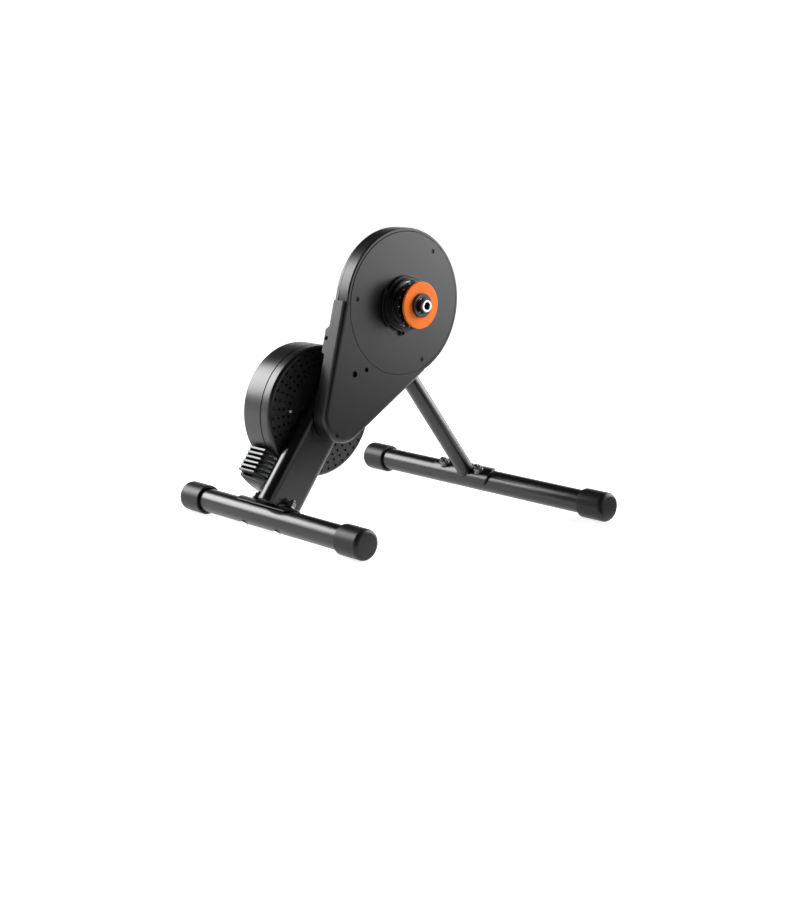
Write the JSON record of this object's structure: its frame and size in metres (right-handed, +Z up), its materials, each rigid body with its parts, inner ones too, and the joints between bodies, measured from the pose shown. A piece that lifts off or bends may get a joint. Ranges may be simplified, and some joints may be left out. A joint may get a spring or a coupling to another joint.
{
  "type": "direct drive bike trainer",
  "caption": "Indoor bicycle trainer: a belt-driven, magnetically braked flywheel on a leaning stem, with a single cog hub and two wide tube feet.",
  "frame": {"origin": "on the floor, below the middle of the feet, in the bicycle's middle plane", "axes": "+X towards the bicycle's front wheel, +Y to the rider's left, +Z up, in metres"},
  "size_m": [0.478, 0.56, 0.459],
  "materials": {
    "frame_paint": "satin",
    "foot_rubber": "matte",
    "cover_plastic": "matte",
    "band_plastic": "satin",
    "black_plastic": "satin",
    "orange_plastic": "satin",
    "bright_steel": "brushed",
    "dark_steel": "black oxide",
    "cast_metal": "as cast",
    "belt_rubber": "matte",
    "board_laminate": "coated",
    "heat_sink_alloy": "black anodised"
  },
  "bodies": {
    "frame": {"rear_foot_tube": "frame_paint", "front_foot_tube": "frame_paint", "rear_saddle": "frame_paint", "front_saddle": "frame_paint", "main_stem": "frame_paint", "front_leg": "frame_paint", "rear_cap_right": "foot_rubber", "rear_cap_left": "foot_rubber", "front_cap_right": "foot_rubber", "front_cap_left": "foot_rubber", "belt_cover_lower": "cover_plastic", "belt_cover_disc": "cover_plastic", "housing_back": "band_plastic", "brake_cover_inner": "band_plastic", "brake_cover_outer": "band_plastic", "hub_collar": "black_plastic", "axle_locknut": "black_plastic", "vent_plate": "black_plastic", "status_light": "black_plastic", "power_socket": "black_plastic", "rear_foot_bolt_right": "bright_steel", "rear_foot_bolt_left": "bright_steel", "front_foot_bolt_right": "bright_steel", "front_foot_bolt_left": "bright_steel", "hub_axle": "bright_steel", "end_cap_right": "bright_steel", "end_cap_left": "bright_steel", "hub_bearing_left": "bright_steel", "hub_bearing_right": "bright_steel", "freehub_bearing": "bright_steel", "tensioner_bolt": "bright_steel", "shaft_bearing_right": "bright_steel", "shaft_bearing_left": "bright_steel", "vent_screw_1": "bright_steel", "vent_screw_2": "bright_steel", "rear_foot_nut_right": "dark_steel", "rear_foot_nut_left": "dark_steel", "front_foot_nut_right": "dark_steel", "front_foot_nut_left": "dark_steel", "disc_screw_1": "dark_steel", "disc_screw_2": "dark_steel", "disc_screw_3": "dark_steel", "cover_screw": "dark_steel", "left_spacer": "dark_steel", "brake_stator": "cast_metal", "drive_belt": "belt_rubber", "control_board": "board_laminate", "heat_sink": "heat_sink_alloy"},
    "drive": {"drive_pulley": "cast_metal"},
    "freehub": {"freehub_body": "dark_steel", "chain_guard_inner": "black_plastic", "cog": "dark_steel", "chain_guard_outer": "orange_plastic", "lockring": "dark_steel"},
    "flywheel": {"flywheel_shaft": "bright_steel", "flywheel_pulley": "cast_metal", "flywheel": "cast_metal", "flywheel_nut": "bright_steel"},
    "tensioner": {"tensioner_arm": "cast_metal"},
    "idler": {"idler_roller": "black_plastic"}
  },
  "joints": [
    {"name": "flywheel_spin", "type": "hinge", "parent": "frame", "child": "flywheel", "pos_m": [-0.10459, 0, 0.17398], "axis": [0, 1, 0], "continuous": true},
    {"name": "drive_spin", "type": "hinge", "parent": "frame", "child": "drive", "pos_m": [0.01736, 0, 0.34], "axis": [0, 1, 0], "continuous": true},
    {"name": "tensioner_swing", "type": "hinge", "parent": "frame", "child": "tensioner", "pos_m": [-0.06239, 0, 0.24224], "axis": [0, 1, 0], "range_deg": [-12, 0]},
    {"name": "idler_spin", "type": "hinge", "parent": "tensioner", "child": "idler", "pos_m": [-0.08699, 0, 0.23798], "axis": [0, 1, 0], "continuous": true},
    {"name": "freehub_overrun", "type": "hinge", "parent": "drive", "child": "freehub", "pos_m": [0.01736, 0, 0.34], "axis": [0, 1, 0], "continuous": true}
  ],
  "couplings": [
    {"joint": "drive_spin", "follows": "flywheel_spin", "ratio": 0.1662},
    {"joint": "idler_spin", "follows": "flywheel_spin", "ratio": 0.79301}
  ]
}
